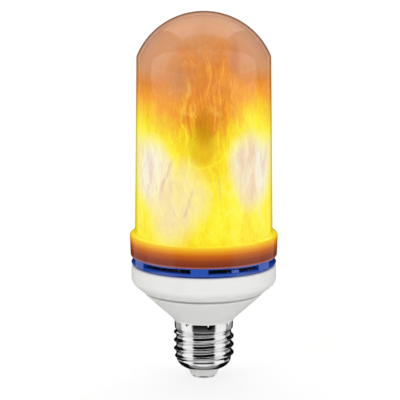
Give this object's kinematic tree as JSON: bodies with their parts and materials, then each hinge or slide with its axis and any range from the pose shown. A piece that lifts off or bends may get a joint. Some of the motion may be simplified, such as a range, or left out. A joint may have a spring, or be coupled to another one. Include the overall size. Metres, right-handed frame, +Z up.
{
  "type": "flame effect bulb",
  "caption": "Screw-cap LED bulb with a translucent domed tube that glows like a flame, a blue vent ring, a white tapered housing and a nickel-plated cap.",
  "frame": {"origin": "middle of the centre contact's face, the lowest point of the cap", "axes": "+Z up the bulb's axis from the cap to the dome, -Y is the front that the picture shows, +X to its right"},
  "size_m": [0.0644, 0.0644, 0.1616],
  "materials": {
    "lit_diffuser": "translucent frosted plastic, lit amber from inside",
    "blue_plastic": "glossy blue moulded plastic",
    "white_plastic": "satin white moulded plastic",
    "cap_nickel": "bright nickel plating",
    "insulator_white": "pale grey-white moulded insulator",
    "contact_metal": "plain plated metal",
    "inner_plastic": "matt white moulded plastic",
    "led_board_white": "white solder mask",
    "led_package": "lit phosphor",
    "screw_steel": "zinc-plated steel",
    "circuit_board": "green solder mask",
    "capacitor_sleeve": "black shrink sleeve",
    "film_yellow": "yellow plastic box",
    "ferrite": "dark grey ferrite",
    "copper_wire": "enamelled copper",
    "chip_black": "black moulding compound",
    "resistor_green": "grey-green lacquer",
    "lead_red": "red wire insulation",
    "lead_black": "black wire insulation"
  },
  "bodies": {
    "root": {"centre_contact": "contact_metal", "cap_insulator": "insulator_white", "screw_shell": "cap_nickel", "lower_housing": "white_plastic", "upper_housing": "white_plastic", "vent_ring": "blue_plastic", "diffuser": "lit_diffuser", "base_plate": "inner_plastic", "plate_screws": "screw_steel", "led_former": "inner_plastic", "led_board": "led_board_white", "leds": "led_package", "former_cap": "inner_plastic", "driver_board": "circuit_board", "bulk_capacitor": "capacitor_sleeve", "filter_capacitor": "film_yellow", "choke_core": "ferrite", "choke_winding": "copper_wire", "bridge_rectifier": "chip_black", "driver_chip": "chip_black", "flame_controller": "chip_black", "fusible_resistor": "resistor_green", "live_lead": "lead_red", "neutral_lead": "lead_black", "led_lead_positive": "lead_red", "led_lead_negative": "lead_black"}
  },
  "joints": []
}
